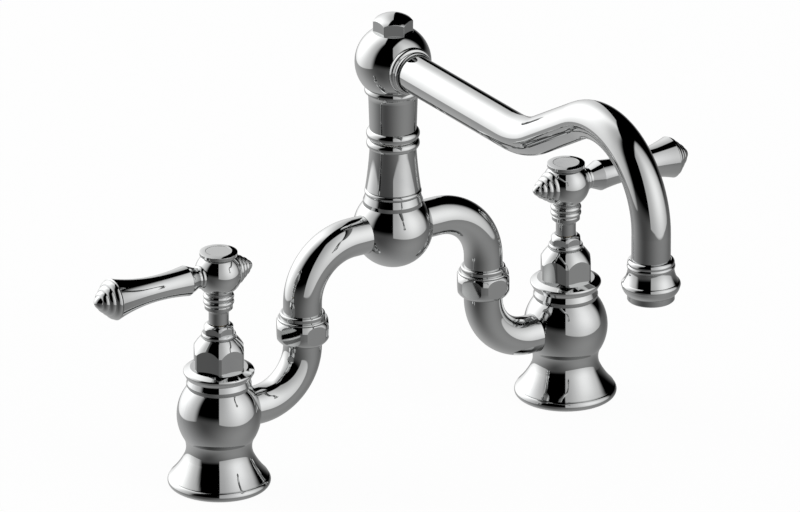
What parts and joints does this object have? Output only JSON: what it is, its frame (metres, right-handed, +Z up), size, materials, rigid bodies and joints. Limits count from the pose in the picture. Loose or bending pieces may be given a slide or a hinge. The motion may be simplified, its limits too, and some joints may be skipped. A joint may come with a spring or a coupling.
{
  "type": "bridge kitchen faucet",
  "caption": "Deck-mounted bridge kitchen faucet in polished chrome, with two lever valves, a raised bridge and a high swivelling spout.",
  "frame": {"origin": "on the deck's surface, midway between the two shanks", "axes": "+X to the right-hand valve, -Y to the front where the spout reaches, +Z up"},
  "size_m": [0.3472, 0.266, 0.3017],
  "materials": {
    "polished_chrome": "polished",
    "raw_brass": "machined",
    "zinc_steel": "zinc plated",
    "black_rubber": "matte",
    "white_ceramic": "lapped alumina ceramic",
    "grey_acetal": "moulded",
    "white_acetal": "moulded"
  },
  "bodies": {
    "faucet_body": {"barrel_o_rings": "black_rubber", "bonnet_collars": "polished_chrome", "bridge_hub": "polished_chrome", "column_base": "polished_chrome", "deck_gaskets": "black_rubber", "fixed_discs": "white_ceramic", "gland_nuts": "polished_chrome", "gland_packings": "white_acetal", "left_base_flange": "polished_chrome", "left_bonnet": "polished_chrome", "left_cartridge_body": "raw_brass", "left_lower_elbow": "polished_chrome", "left_shank": "raw_brass", "left_upper_elbow": "polished_chrome", "left_valve_body": "polished_chrome", "mounting_nuts": "raw_brass", "mounting_washers": "zinc_steel", "retaining_nut": "raw_brass", "retaining_washer": "zinc_steel", "right_base_flange": "polished_chrome", "right_bonnet": "polished_chrome", "right_cartridge_body": "raw_brass", "right_lower_elbow": "polished_chrome", "right_shank": "raw_brass", "right_upper_elbow": "polished_chrome", "right_valve_body": "polished_chrome", "seat_seals": "black_rubber", "swivel_o_rings": "black_rubber", "swivel_spigot": "raw_brass", "swivel_washer": "white_acetal", "union_gaskets": "black_rubber", "union_nuts": "polished_chrome"},
    "left_handle": {"left_moving_disc": "white_ceramic", "left_stem": "raw_brass", "left_stem_o_ring": "black_rubber", "left_handle_hub": "polished_chrome", "left_lever": "polished_chrome", "left_rear_finial": "polished_chrome", "left_handle_screw": "zinc_steel", "left_index_cap": "polished_chrome", "left_index_button": "polished_chrome"},
    "right_handle": {"right_moving_disc": "white_ceramic", "right_stem": "raw_brass", "right_stem_o_ring": "black_rubber", "right_handle_hub": "polished_chrome", "right_lever": "polished_chrome", "right_rear_finial": "polished_chrome", "right_handle_screw": "zinc_steel", "right_index_cap": "polished_chrome", "right_index_button": "polished_chrome"},
    "spout": {"spout_column": "polished_chrome", "spout_head": "polished_chrome", "hex_cap": "polished_chrome", "spout_tube": "polished_chrome", "spout_collar": "polished_chrome", "aerator_bell": "polished_chrome", "aerator_sleeve": "polished_chrome", "aerator_insert": "grey_acetal", "aerator_washer": "black_rubber"}
  },
  "joints": [
    {"name": "left_handle_turn", "type": "hinge", "parent": "faucet_body", "child": "left_handle", "pos_m": [-0.1016, 0, 0.1118], "axis": [0, 0, 1], "range_deg": [0, 90]},
    {"name": "right_handle_turn", "type": "hinge", "parent": "faucet_body", "child": "right_handle", "pos_m": [0.1016, 0, 0.1118], "axis": [0, 0, 1], "range_deg": [-90, 0]},
    {"name": "spout_swivel", "type": "hinge", "parent": "faucet_body", "child": "spout", "pos_m": [0, 0, 0.16], "axis": [0, 0, 1], "continuous": true}
  ]
}
